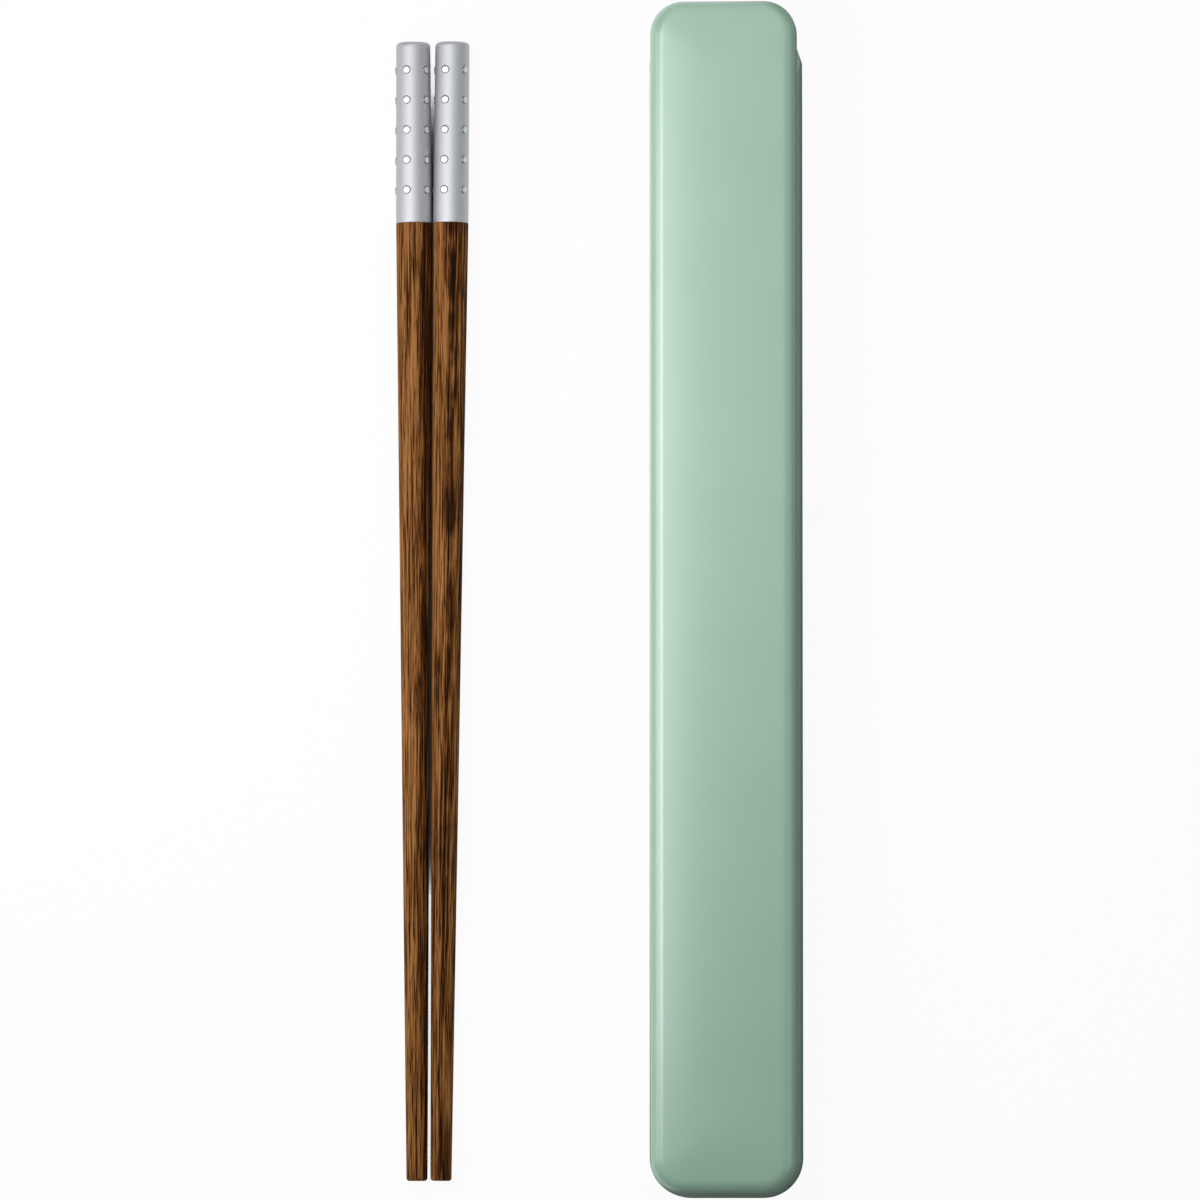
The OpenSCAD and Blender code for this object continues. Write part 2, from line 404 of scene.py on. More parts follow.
@dataclass(frozen=True)
class SoftRubber:
    """Matt soft plastic of the rests."""

    name: str = "soft_grey_rubber"
    light: Triple = (0.29, 0.32, 0.30)
    dark: Triple = (0.23, 0.26, 0.24)
    grain: float = 3500.0
    roughness: Pair = (0.66, 0.8)
    relief: Pair = (0.25, 0.00004)

    def material(self) -> Material:
        """A fine pebbled grain in colour, gloss and relief.

        Returns:
            The material.
        """
        sheet = ShaderSheet(self.name)
        place = sheet.add("ShaderNodeTexCoord").outputs["Object"]
        grain = sheet.noise(place, self.grain, 4.0, 0.6)
        colour = sheet.ramp(grain, [(0.35, self.dark), (0.65, self.light)])
        sheet.join(colour, sheet.shader.inputs["Base Color"])
        sheet.join(sheet.span(grain, *NOISE_SPAN, *self.roughness), sheet.shader.inputs["Roughness"])
        sheet.bump(grain, *self.relief)
        return sheet.material


@dataclass(frozen=True)
class StainedWood:
    """Stained wood with straight grain, on the stick's own coordinates."""

    name: str = "stained_wood"
    band: Triple = (800.0, 800.0, 16.0)
    fibre: Triple = (2900.0, 2900.0, 70.0)
    fibre_share: float = 0.68
    pore: Triple = (5600.0, 5600.0, 210.0)
    pore_span: Pair = (0.52, 0.68)
    pore_depth: float = 0.13
    # Painted light and shade across the stick: the grain is lifted on its left side and lowered on its
    # right, over the given span in metres
    painted_side_shading: tuple[float, float, float, float] = (-0.003, 0.003, 0.052, -0.060)
    grain_span: Pair = (0.3, 0.65)
    roughness: Pair = (0.78, 0.66)
    gloss: float = 0.06
    relief: Pair = (0.35, 0.00005)
    stops: tuple[tuple[float, Triple], ...] = (
        (0.35, (0.012, 0.004, 0.001)),
        (0.42, (0.060, 0.018, 0.003)),
        (0.47, (0.135, 0.049, 0.011)),
        (0.52, (0.235, 0.096, 0.026)),
        (0.59, (0.330, 0.147, 0.046)),
    )
    streak_wander: Triple = (0.0, 0.0, 70.0)
    streak_patch: Triple = (0.0, 300.0, 110.0)
    streak_broken: Pair = (0.40, 0.56)
    streak_place: float = 0.0015
    streak_swing: float = 0.0020
    streak_width: Pair = (0.0003, 0.0009)
    streak_depth: float = 0.13
    streak_start: Pair = (0.27, 0.30)
    streak_end: Pair = (0.37, 0.43)
    streak_rest: float = 0.45

    def streak(self, sheet: ShaderSheet, place: Socket, x: Socket, z: Socket) -> Socket:
        """Dark streak that wanders along one stick in patches and weakens towards its tip.

        Args:
            sheet: The material.
            place: Place in the stick's own frame.
            x: Place across the stick.
            z: Place along the stick, which differs from stick to stick.

        Returns:
            How much darker the streak makes the grain.
        """
        wander = sheet.noise(sheet.spread(place, self.streak_wander), 1.0, 2.0)
        patch = sheet.noise(sheet.spread(place, self.streak_patch), 1.0, 2.0)
        line = sheet.sums(Op.ADD, x, sheet.sums(Op.MULTIPLY, wander, self.streak_swing))
        off = sheet.sums(Op.ABSOLUTE, sheet.sums(Op.SUBTRACT, line, self.streak_place), 0.0)
        depth = sheet.span(off, *self.streak_width, self.streak_depth, 0.0)
        broken = sheet.sums(Op.MULTIPLY, depth, sheet.span(patch, *self.streak_broken, 0.0, 1.0))
        start = sheet.span(z, *self.streak_start, 0.0, 1.0)
        end = sheet.span(z, *self.streak_end, 1.0, self.streak_rest)
        return sheet.sums(Op.MULTIPLY, broken, sheet.sums(Op.MULTIPLY, start, end))

    def material(self) -> Material:
        """Bands and fibres drawn out along the stick, with painted light and shade across it, pores and a
        streak.

        Returns:
            The material.
        """
        sheet = ShaderSheet(self.name)
        place = sheet.add("ShaderNodeAttribute", attribute_name="stick_place").outputs["Vector"]
        band = sheet.noise(sheet.spread(place, self.band), 1.0, 3.0, 0.55)
        fibre = sheet.noise(sheet.spread(place, self.fibre), 1.0, 3.0, 0.6)
        pore = sheet.noise(sheet.spread(place, self.pore), 1.0, 2.0, 0.5)
        axes = sheet.add("ShaderNodeSeparateXYZ")
        sheet.join(place, axes.inputs[0])
        x, z = axes.outputs["X"], axes.outputs["Z"]
        bands = sheet.sums(Op.MULTIPLY, band, 1.0 - self.fibre_share)
        both = sheet.sums(Op.ADD, bands, sheet.sums(Op.MULTIPLY, fibre, self.fibre_share))
        # Painted light and shade: the stick's left side is made lighter and its right side darker
        side_shaded = sheet.sums(Op.ADD, both, sheet.span(x, *self.painted_side_shading))
        cut = sheet.sums(Op.SUBTRACT, side_shaded, sheet.span(pore, *self.pore_span, 0.0, self.pore_depth))
        grain = sheet.sums(Op.SUBTRACT, cut, self.streak(sheet, place, x, z))
        sheet.join(sheet.ramp(grain, list(self.stops)), sheet.shader.inputs["Base Color"])
        rough = sheet.span(grain, *self.grain_span, *self.roughness)
        sheet.join(rough, sheet.shader.inputs["Roughness"])
        sheet.set(Specular_IOR_Level=self.gloss)
        sheet.bump(grain, *self.relief)
        return sheet.material


@dataclass(frozen=True)
class SatinMetal:
    """Turned metal with fine rings round the stick."""

    name: str
    light: Triple
    dark: Triple
    roughness: Pair
    # Painted shade: a darker ring over the outer slope of each stud, with how dark it gets and the shares
    # of the stud's radius over which it darkens
    rim: float = 1.0
    rim_shade_place: Pair = (0.62, 0.84)
    ring: Triple = (60.0, 60.0, 7000.0)
    relief: Pair = (0.05, 0.00001)

    def material(self) -> Material:
        """Rings in colour, gloss and relief round the stick's axis, and a darker ring painted as shade on
        each stud's sloping rim.

        Returns:
            The material.
        """
        sheet = ShaderSheet(self.name)
        place = sheet.add("ShaderNodeAttribute", attribute_name="stick_place").outputs["Vector"]
        ring = sheet.noise(sheet.spread(place, self.ring), 1.0, 3.0, 0.6)
        sheet.set(Metallic=1.0)
        colour = sheet.ramp(ring, [(0.3, self.dark), (0.7, self.light)])
        # Painted shade on the outer slope of each stud
        if self.rim < 1.0:
            share = sheet.add("ShaderNodeAttribute", attribute_name="stud_share").outputs["Fac"]
            shade = sheet.add("ShaderNodeVectorMath", operation="SCALE")
            sheet.join(colour, shade.inputs[0])
            sheet.join(sheet.span(share, *self.rim_shade_place, 1.0, self.rim), shade.inputs["Scale"])
            colour = shade.outputs[0]
        sheet.join(colour, sheet.shader.inputs["Base Color"])
        sheet.join(sheet.span(ring, *NOISE_SPAN, *self.roughness), sheet.shader.inputs["Roughness"])
        sheet.bump(ring, *self.relief)
        return sheet.material


# The case


@dataclass(frozen=True)
class BarPlan:
    """Plan of a long rounded bar: half its width, its two ends and its corner radius."""

    half: float
    back: float
    front: float
    corner: float

    def columns(self, side: Array, turns: int, across: int) -> tuple[Array, Array]:
        """Walks round the plan from the back right corner.

        Every point of the outline is a centre plus the corner radius times an outward direction. The
        centre runs along the inner rectangle on the straight sides and stands still at a corner.

        Args:
            side: Shares from 0 to 1 of the places along a long side.
            turns: Steps round one corner.
            across: Steps across one end.

        Returns:
            Centres and outward directions, both as rows of two.
        """
        a, f, b = self.half - self.corner, self.front - self.corner, self.back + self.corner
        ys = b + (f - b) * side
        xs = np.linspace(a, -a, across + 1)[1:-1]
        cos, sin = arc(0, 90, turns)
        one, end = np.ones_like(ys), np.ones_like(xs)
        turn = np.ones(turns + 1)
        centres = np.concatenate([
            np.stack([a * one, ys], 1), np.stack([a * turn, f * turn], 1),
            np.stack([xs, f * end], 1), np.stack([-a * turn, f * turn], 1),
            np.stack([-a * one, ys[::-1]], 1), np.stack([-a * turn, b * turn], 1),
            np.stack([-xs, b * end], 1), np.stack([a * turn, b * turn], 1),
        ])
        outward = np.concatenate([
            np.stack([one, 0 * one], 1), np.stack([cos, sin], 1),
            np.stack([0 * end, end], 1), np.stack([-sin, cos], 1),
            np.stack([-one, 0 * one], 1), np.stack([-cos, -sin], 1),
            np.stack([0 * end, -end], 1), np.stack([sin, -cos], 1),
        ])
        return centres, outward

    def spine(self, ring: Array) -> Array:
        """The point of the middle line that each point of a ring draws in to."""
        along = np.clip(ring[:, 1], self.back + self.half, self.front - self.half)
        return np.stack([0 * along, along], 1)

    def rows(self, centres: Array, outward: Array, reach: Array, inset: Array, z: Array) -> Array:
        """Rings at given insets and heights: centre + (reach - inset) * outward."""
        flat = centres[None] + (reach[None] - inset)[..., None] * outward[None]
        return np.concatenate([flat, np.broadcast_to(z, inset.shape)[..., None]], axis=-1)

    def lid_rows(self, ring: Array, share: Array, z: Array) -> Array:
        """Rings that draw in from an edge ring to the middle line.

        Args:
            ring: The edge ring.
            share: How far each ring draws in, from 0 to 1.
            z: Height of each ring.

        Returns:
            The rings, each a row of points.
        """
        spine = self.spine(ring)
        flat = ring[None, :, :2] * (1 - share)[:, None, None] + spine[None] * share[:, None, None]
        return np.concatenate([flat, np.broadcast_to(z[:, None], flat.shape[:2])[..., None]], axis=-1)


FLAT_SHARES = np.array([0.0, 0.03, 0.1, 0.22, 0.38, 0.55, 0.72, 0.88, 1.0])  # Rings over a flat


@dataclass(frozen=True)
class Tray:
    """Lower half of the case, with its lowered nose, finger flats, and grooves for the lid's beads."""

    plan: BarPlan = BarPlan(12.9, -101.75, 98.75, 6.8)
    rim: float = 11.3
    nose: float = 8.1
    grip_y: float = 92.35
    ramp: float = 3.0
    ramp_bend: float = 0.1
    flat_angle: float = 20.0
    wall: float = 1.7
    floor: float = 1.6
    foot: float = 2.0
    inside_foot: float = 1.2
    shoulder_z: float = 8.5
    shoulder_r: float = 9.129
    edge: float = 0.22
    groove_depth: float = 0.65
    groove_low: float = 8.5
    groove_high: float = 9.7

    def shoulder(self, z: Array) -> Array:
        """How far the arc of the shoulder draws in at a height: r - sqrt(r^2 - rise^2)."""
        rise = np.maximum(z - self.shoulder_z, 0)
        return self.shoulder_r - np.sqrt(self.shoulder_r ** 2 - rise ** 2)

    def reach(self, centres: Array, outward: Array) -> Array:
        """Corner radius, cut at the nose by the finger flats: the lesser of r and flat distance / cosine.

        Args:
            centres: Centres of the outline's points.
            outward: Their outward directions.

        Returns:
            Distance from each centre to the outline, with the two bends at a flat softened.
        """
        turn = math.radians(self.flat_angle)
        normal = np.array([math.cos(turn), math.sin(turn)])
        offset = normal @ np.array([self.plan.half, self.grip_y])
        near = np.abs(centres) * np.array([1.0, 0.0]) + centres * np.array([0.0, 1.0])
        mirrored = np.abs(outward) * np.array([1.0, 0.0]) + outward * np.array([0.0, 1.0])
        cosine = np.maximum(mirrored @ normal, 0.05)
        flat = (offset - near @ normal) / cosine
        soft = 0.04
        mean, half_gap = (flat + self.plan.corner) / 2, (flat - self.plan.corner) / 2
        cut = mean - np.sqrt(half_gap ** 2 + soft ** 2)
        front = (centres[:, 1] > self.grip_y - 3 * self.ramp) & (outward[:, 1] >= 0)
        return np.where(front, np.minimum(cut, self.plan.corner), self.plan.corner)

    def build(self) -> Piece:
        """Lofts the tray as rings round its plan.

        The rings go from the middle of the underside out round the foot, up the wall and shoulder, over
        the rim, whose height falls along a ramp to the nose, down the inside past the bead groove, and
        in over the floor.

        Returns:
            The tray as one closed surface.
        """
        nose_share = 0.96  # Of a long side, where the finer steps near the nose begin
        long_side = np.linspace(0, nose_share, 40)
        near_nose = np.linspace(nose_share, 1.0, 61)[1:]
        side = np.concatenate([long_side, near_nose])[1:-1]
        centres, outward = self.plan.columns(side, turns=30, across=12)
        reach = self.reach(centres, outward)
        y = centres[:, 1] + reach * outward[:, 1]
        slope = soft_step((y - self.grip_y + self.ramp) / self.ramp, self.ramp_bend)
        top = self.rim - (self.rim - self.nose) * slope
        full = np.ones_like(y)
        straight = np.abs(outward[:, 0]) > 0.999
        e = self.edge

        cos, sin = arc(-90, 0, 8)
        foot_in, foot_z = self.foot * (1 - cos)[:, None] * full, self.foot * (1 + sin)[:, None] * full
        wall_top = 7.2
        wall_z = np.array([2.6, 4.5, 6.4, wall_top])[:, None] * full
        rise = np.linspace(0, 1, 10)[1:, None]
        shoulder_z = wall_top + (top - e - wall_top) * rise
        brim = self.shoulder(top - e)
        cos, sin = arc(0, 90, 5)
        rim_in = brim + e * (1 - cos[1:])[:, None]
        rim_z = top - e + e * sin[1:, None]

        def groove(z: Array) -> Array:
            """Depth of the bead groove at a height."""
            inside = (z > self.groove_low) & (z < self.groove_high)
            return np.where(inside & straight, self.groove_depth, 0.0)

        lip = self.wall - groove(top - e)
        lip_in = lip - e * (1 - cos[::-1])[:, None]
        lip_z = top - e + e * sin[::-1, None]
        levels = np.array([9.72, 9.68, 8.52, 8.48, 7.0, 5.0, 3.4])
        apart = 0.005 * np.arange(1, len(levels) + 1)[:, None]  # Between rings under the low nose
        inner_z = np.minimum(levels[:, None], top - e - apart)
        inner_in = self.wall - groove(inner_z)
        cos, sin = arc(0, 90, 6)
        sole_in = self.wall + self.inside_foot * (1 - cos)[:, None] * full
        sole_z = self.floor + self.inside_foot * (1 - sin)[:, None] * full

        shoulder_in = self.shoulder(shoulder_z)
        inset = np.concatenate([foot_in, 0 * wall_z, shoulder_in, rim_in, lip_in, inner_in, sole_in])
        z = np.concatenate([foot_z, wall_z, shoulder_z, rim_z, lip_z, inner_z, sole_z])
        skin = self.plan.rows(centres, outward, reach, inset, z)
        flat = np.ones(len(FLAT_SHARES) - 1)
        under = self.plan.lid_rows(skin[0], FLAT_SHARES[:0:-1], 0 * flat)
        over = self.plan.lid_rows(skin[-1], FLAT_SHARES[1:], self.floor * flat)
        return loop_piece("tray_shell", np.concatenate([under, skin, over]))

    def dress(self, finishes: Finishes) -> None:
        """Builds the tray and gives it its finish and body."""
        attach(self.build(), finishes, Body.CASE, Slot.SHELL, "base_tray")


@dataclass(frozen=True)
class Lid:
    """Upper half of the case, with the two runners and the cross wall that it slides on."""

    plan: BarPlan = BarPlan(12.46, -101.31, 101.75, 5.7)
    low: float = 11.5
    top: float = 17.0
    crown: float = 0.42
    edge_r: float = 2.6
    wall: float = 1.7
    roof: float = 1.5
    inner_edge_r: float = 0.9
    lip: float = 0.25
    runner_in: float = 9.9
    runner_out: float = 11.0
    runner_z: float = 8.4
    runner_back: float = -94.45
    closer_y: float = 97.15
    closer_t: float = 1.4
    bead_rise: float = 0.45
    bead_z: float = 8.7
    bead_h: float = 0.8
    bead_slope: float = 0.2
    root_in: float = 0.3
    soft: float = 0.12

    def shell(self) -> Piece:
        """Lofts the lid as rings round its plan.

        The rings go from the middle of the crowned top out over the rounded edge, down the wall, under
        its lip, up the inside and in under the roof.

        Returns:
            The lid's shell as one closed surface.
        """
        centres, outward = self.plan.columns(np.linspace(0, 1, 62)[1:-1], turns=24, across=14)
        full = np.ones(len(centres))
        brow = self.top - self.crown
        tilt = math.degrees(math.atan(2 * self.crown / (self.plan.half - self.edge_r)))
        cos, sin = arc(90 - tilt, 0, 16)
        edge_in, edge_z = self.edge_r * (1 - cos), brow - self.edge_r * (sin[0] - sin)
        wall_z = np.array([14.0, 13.0, 12.2])
        cos, sin = arc(0, 90, 5)
        lip_in, lip_z = self.lip * (1 - cos), self.low + self.lip * (1 - sin)
        back_in, back_z = self.wall - self.lip * (1 - cos[::-1]), lip_z[::-1]
        ceiling = self.top - self.roof
        inner_z = np.array([12.4, 13.4])
        cos, sin = arc(0, 90, 6)
        vault_in = self.wall + self.inner_edge_r * (1 - cos)
        vault_z = ceiling - self.inner_edge_r * (1 - sin)
        inner_in = self.wall + 0 * inner_z
        inset = np.concatenate([edge_in, 0 * wall_z, lip_in, back_in, inner_in, vault_in])
        z = np.concatenate([edge_z, wall_z, lip_z, back_z, inner_z, vault_z])
        reach = self.plan.corner * full
        skin = self.plan.rows(centres, outward, reach, inset[:, None] * full, z[:, None])
        share = FLAT_SHARES[:0:-1]
        over = self.plan.lid_rows(skin[0], share, brow + self.crown * (1 - (1 - share) ** 2))
        under = self.plan.lid_rows(skin[-1], FLAT_SHARES[1:], ceiling + 0 * FLAT_SHARES[1:])
        return loop_piece("lid_shell", np.concatenate([over, skin, under]))

    def runner(self, side: Side) -> Piece:
        """One runner: a straight bar with a bead on its outer face, carried along the case.

        Args:
            side: The side that it is on; the left one is the right one mirrored.

        Returns:
            The runner.
        """
        slope, root = self.bead_slope, self.top - self.roof + self.root_in
        out, bead = self.runner_out, self.runner_out + self.bead_rise
        high = self.bead_z + self.bead_h
        profile = np.array([
            [self.runner_in, self.runner_z], [out, self.runner_z], [out, self.bead_z],
            [bead, self.bead_z + slope], [bead, high - slope], [out, high], [out, root],
            [self.runner_in, root],
        ])
        profile = profile[::-1] * np.array([-1.0, 1.0]) if side is Side.LEFT else profile
        end = self.closer_y + self.closer_t
        return prism_piece(f"{side.value}_runner", profile, self.runner_back, end, self.soft)

    def closer(self) -> Piece:
        """The cross wall above the nose, a rectangle carried a short way along the case.

        Returns:
            The wall, with its sides inside the runners.
        """
        root, low = self.top - self.roof + self.root_in, self.runner_z
        a, end = self.runner_in + self.root_in, self.closer_y + self.closer_t - 0.02
        profile = np.array([[-a, low], [a, low], [a, root], [-a, root]])
        return prism_piece("pull_end_wall", profile, self.closer_y, end, self.soft)

    def dress(self, finishes: Finishes) -> None:
        """Builds the lid's four pieces and gives them their finish and body."""
        for piece in (self.shell(), self.runner(Side.RIGHT), self.runner(Side.LEFT), self.closer()):
            attach(piece, finishes, Body.LID, Slot.SHELL, "slide_lid")


@dataclass(frozen=True)
class Rest:
    """A soft rest with two round grooves for the chopsticks."""

    node: str
    middle: float
    groove_r: float
    pitch: float
    half: float = 9.8
    length: float = 9.0
    height: float = 3.0
    web: float = 0.9
    floor: float = 1.6
    edge: float = 0.25

    def build(self) -> Piece:
        """Stands the grooved top over a flat underside.

        The top's height is the least of the rest's height, the lower half of each groove's circle and a
        quarter circle at either side; it drops by a quarter circle towards both ends.

        Returns:
            The rest.
        """
        cos, _ = arc(0, 90, 4)
        side = self.half - self.edge * (1 - cos)
        depth = self.web + self.groove_r - self.height
        brink = self.pitch / 2 + np.array([-1.0, 1.0]) * math.sqrt(self.groove_r ** 2 - depth ** 2)
        right = np.concatenate([side, brink, np.linspace(0.0, self.half - self.edge, 81)])
        x = np.unique(np.concatenate([-right, right]).round(5))
        span = np.maximum(self.groove_r ** 2 - (np.abs(x) - self.pitch / 2) ** 2, 0)
        bowl = np.where(span > 0, self.web + self.groove_r - np.sqrt(span), self.height)
        over = np.clip(np.abs(x) - self.half + self.edge, 0, self.edge)
        round_side = self.height - self.edge + np.sqrt(self.edge ** 2 - over ** 2)
        top = np.minimum(np.minimum(bowl, self.height), round_side)
        cos, sin = arc(90, 0, 4)
        drop, reach = self.edge * (1 - cos), self.edge * (1 - sin)
        drop = np.concatenate([drop, drop[::-1]])[:, None]
        y = np.concatenate([reach, self.length - reach[::-1]])[:, None] + self.middle - self.length / 2
        high = np.stack(np.broadcast_arrays(x, y, self.floor + top - drop), axis=-1)
        low = np.stack(np.broadcast_arrays(x, y, self.floor), axis=-1)
        rows = np.concatenate([low, high[:, ::-1]], axis=1)
        count, columns = rows.shape[:2]
        first = np.arange(len(x) - 1)
        end = np.stack([first, first + 1, columns - 2 - first, columns - 1 - first], axis=1)
        faces = np.concatenate([grid_quads(count, columns), end, end + (count - 1) * columns])
        return make_piece(f"soft_{self.node}", rows, faces.tolist())

    def dress(self, finishes: Finishes) -> None:
        """Builds the rest and gives it its finish and body."""
        attach(self.build(), finishes, Body.CASE, Slot.REST, self.node)


# The chopsticks


@dataclass(frozen=True)
class Chopstick:
    """One tapered stick with a metal cap and rows of domed studs, laid from its head to its tip."""

    side: Side
    body: Body
    head_x: float
    tip_x: float
    grain_shift: float
    head_y: float = 96.2
    head_z: float = 3.409
    length: float = 195.0
    cap_r: float = 3.05
    cap_l: float = 31.1
    cap_wall: float = 0.6
    cap_edge: float = 0.75
    cap_slim: float = 0.12
    cap_mouth: float = 0.1
    spigot_gap: Pair = (0.05, 0.3)
    shaft_edge: float = 0.12
    tip_r: float = 1.8
    tip_edge: float = 0.5
    stud_r: float = 0.73
    stud_rise: float = 0.11
    stud_flat: float = 0.72
    stud_sag: float = 0.08
    stud_seat: float = 0.25
    stud_first: float = 4.85
    stud_pitch: float = 5.16
    stud_count: int = 5
    stud_rows: int = 5
    stud_turn: float = 19.0
    turns: int = 72

    def axes(self) -> tuple[Array, Array]:
        """Where the stick lies.

        Returns:
            Its head, and its own three axes as rows: to the right, up, and from head to tip.
        """
        side, drop = self.tip_x - self.head_x, self.head_z - self.tip_r
        lean = math.asin(drop / self.length)
        swing = math.atan(side / math.sqrt(self.length ** 2 - side ** 2 - drop ** 2))
        turn = Matrix.Rotation(swing, 3, "Z") @ Matrix.Rotation(math.radians(90) + lean, 3, "X")
        return np.array([self.head_x, self.head_y, self.head_z]), np.array(turn).T

    def lay(self, local: Array) -> Array:
        """Moves points from the stick's own frame to where it lies: head + local * axes."""
        head, axes = self.axes()
        return head + local @ axes

    def own_points(self, mesh: bpy.types.Mesh) -> Array:
        """Points of a mesh in the stick's own frame: (point - head) * transposed axes.

        Args:
            mesh: The mesh.

        Returns:
            The points in metres, in rows of three.
        """
        flat = np.empty(len(mesh.vertices) * 3, dtype=np.float32)
        mesh.vertices.foreach_get("co", flat)
        head, axes = self.axes()
        return (flat.reshape(-1, 3) - head * MM) @ axes.T

    def mark_place(self, piece: Piece) -> None:
        """Stores each point's place in the stick's own frame, for grain and turned rings.

        Args:
            piece: The piece.
        """
        local = self.own_points(piece.data) + np.array([0.0, 0.0, self.grain_shift])
        layer = piece.data.attributes.new("stick_place", "FLOAT_VECTOR", "POINT")
        layer.data.foreach_set("vector", local.astype(np.float32).ravel())

    def mark_rim(self, piece: Piece) -> None:
        """Stores how far each point stands from its stud's axis, as a share of the stud's radius.

        The nearest stud is found by rounding the turn round the stick and the place along it to whole
        rows and pitches; what is left over of both is the way to its axis.

        Args:
            piece: The studs.
        """
        x, y, z = self.own_points(piece.data).T / MM
        step = 2 * math.pi / self.stud_rows
        turn = np.arctan2(-x, y) - math.radians(self.stud_turn)
        turn -= step * np.round(turn / step)
        along = (z - self.stud_first) / self.stud_pitch
        away = np.hypot(np.hypot(x, y) * np.sin(turn), self.stud_pitch * (along - np.round(along)))
        # This share drives the painted shade on each stud's outer slope
        layer = piece.data.attributes.new("stud_share", "FLOAT", "POINT")
        layer.data.foreach_set("value", (away / self.stud_r).astype(np.float32))

    def turned(self, name: str, profile: Array) -> Piece:
        """Turns a profile round the stick's axis: radius * (cosine, sine), and the place along it.

        Args:
            name: Name of the piece.
            profile: Radius and place along the stick, in rows of two.

        Returns:
            The piece, where the stick lies.
        """
        angle = np.linspace(0, 2 * math.pi, self.turns, endpoint=False)
        radius, along = profile[:, :1], profile[:, 1:]
        local = np.stack([radius * np.cos(angle), radius * np.sin(angle), along + 0 * angle], axis=-1)
        piece = loop_piece(name, self.lay(local))
        self.mark_place(piece)
        return piece

    def cap_side(self, along: Array) -> Array:
        """Radius of the cap's side, which narrows a little towards the closed end."""
        return self.cap_r - self.cap_slim * np.clip(1 - along / self.cap_l, 0, 1)

    def shaft(self) -> Piece:
        """The wood, turned: spigot in the cap, softened shoulder, straight taper and rounded tip.

        Returns:
            The shaft.
        """
        gap, end_gap = self.spigot_gap
        spigot, top, soft = self.cap_r - self.cap_wall - gap, self.cap_wall + end_gap, self.shaft_edge
        cos, sin = arc(180, 90, 4)
        shoulder = np.stack([self.cap_r - soft * (1 - sin), self.cap_l + soft * (1 + cos)], 1)
        along = np.linspace(self.cap_l + 1, self.length - 2 * self.tip_edge, 40)
        radius = np.interp(along, [self.cap_l, self.length], [self.cap_r, self.tip_r])
        taper = np.stack([radius, along], 1)
        cos, sin = arc(0, 90, 8)
        edge = self.tip_edge
        tip = np.stack([self.tip_r - edge * (1 - cos), self.length - edge * (1 - sin)], 1)
        start = np.array([[0.0, top], [spigot, top], [spigot, self.cap_l]])
        end = np.array([[0.0, self.length]])
        profile = np.concatenate([start, shoulder, taper, tip, end])
        return self.turned(f"{self.side.value}_shaft_wood", profile)

    def cap(self) -> Piece:
        """The drawn cap, turned: rounded closed end, side that widens slightly, softened mouth and bore.

        Returns:
            The cap.
        """
        e, mouth, bore = self.cap_edge, self.cap_mouth, self.cap_r - self.cap_wall
        cos, sin = arc(-90, 0, 8)
        along = e * (1 + sin)
        end = np.stack([self.cap_side(along) - e * (1 - cos), along], 1)
        along = np.linspace(e + 0.4, self.cap_l - 0.5, 14)
        side = np.stack([self.cap_side(along), along], 1)
        cos, sin = arc(0, 90, 4)
        lip = np.stack([self.cap_r - mouth * (1 - cos), self.cap_l - mouth * (1 - sin)], 1)
        inside = np.array([[bore, self.cap_l], [bore, self.cap_wall], [0.0, self.cap_wall]])
        dome = np.array([[0.0, 0.0], [0.4 * self.cap_r, 0.0]])
        return self.turned(f"{self.side.value}_cap_metal", np.concatenate([dome, end, side, lip, inside]))

    def studs(self) -> Piece:
        """All studs of the cap as one piece.

        A stud is nearly flat on top and falls away in a parabola over its outer part, on a short peg let
        into the cap: rise * (1 - sag q^2 - (1 - sag) t^2), where q is the share of its radius and t is
        the share of the outer part. Its axis stands square on the stick, in rows turned round it.

        Returns:
            The studs.
        """
        q = np.concatenate([[0.0, 0.4], np.linspace(self.stud_flat, 1.0, 5)])
        t = np.maximum(q - self.stud_flat, 0) / (1 - self.stud_flat)
        fall = self.stud_sag * q ** 2 + (1 - self.stud_sag) * t ** 2
        dome = np.stack([self.stud_r * q, self.stud_rise * (1 - fall)], 1)
        peg = np.array([[self.stud_r, -self.stud_seat], [0.0, -self.stud_seat]])
        profile = np.concatenate([dome, peg])
        spin = np.linspace(0, 2 * math.pi, 20, endpoint=False)
        row = np.radians(self.stud_turn + 360.0 / self.stud_rows * np.arange(self.stud_rows))
        out = np.stack([-np.sin(row), np.cos(row), 0 * row], 1)
        across = np.stack([np.cos(row), np.sin(row), 0 * row], 1)
        along = self.stud_first + self.stud_pitch * np.arange(self.stud_count)
        shape = (self.stud_rows, self.stud_count, len(profile), len(spin), 3)
        height = self.cap_side(along)[:, None, None, None] + profile[:, 1][:, None, None]
        wide = (profile[:, :1] * np.cos(spin))[..., None]
        long = (profile[:, :1] * np.sin(spin))[..., None]
        local = (
            out[:, None, None, None] * height + across[:, None, None, None] * wide
            + np.array([0.0, 0.0, 1.0]) * (along[None, :, None, None, None] + long)
        )
        local = np.broadcast_to(local, shape).reshape(-1, 3)
        ring = len(profile) * len(spin)
        first = ring * np.arange(self.stud_rows * self.stud_count)[:, None, None]
        faces = (first + grid_quads(len(profile), len(spin))[None]).reshape(-1, 4)
        piece = make_piece(f"{self.side.value}_studs_bright", self.lay(local), faces.tolist())
        self.mark_place(piece)
        self.mark_rim(piece)
        return piece

    def dress(self, finishes: Finishes) -> None:
        """Builds shaft, cap and studs and gives them their finishes and body.

        Args:
            finishes: The material of each slot.
        """
        side = self.side.value
        attach(self.shaft(), finishes, self.body, Slot.WOOD, f"{side}_shaft")
        attach(self.cap(), finishes, self.body, Slot.CAP, f"{side}_cap")
        attach(self.studs(), finishes, self.body, Slot.STUD, f"{side}_cap_studs")


# Stage, light and camera


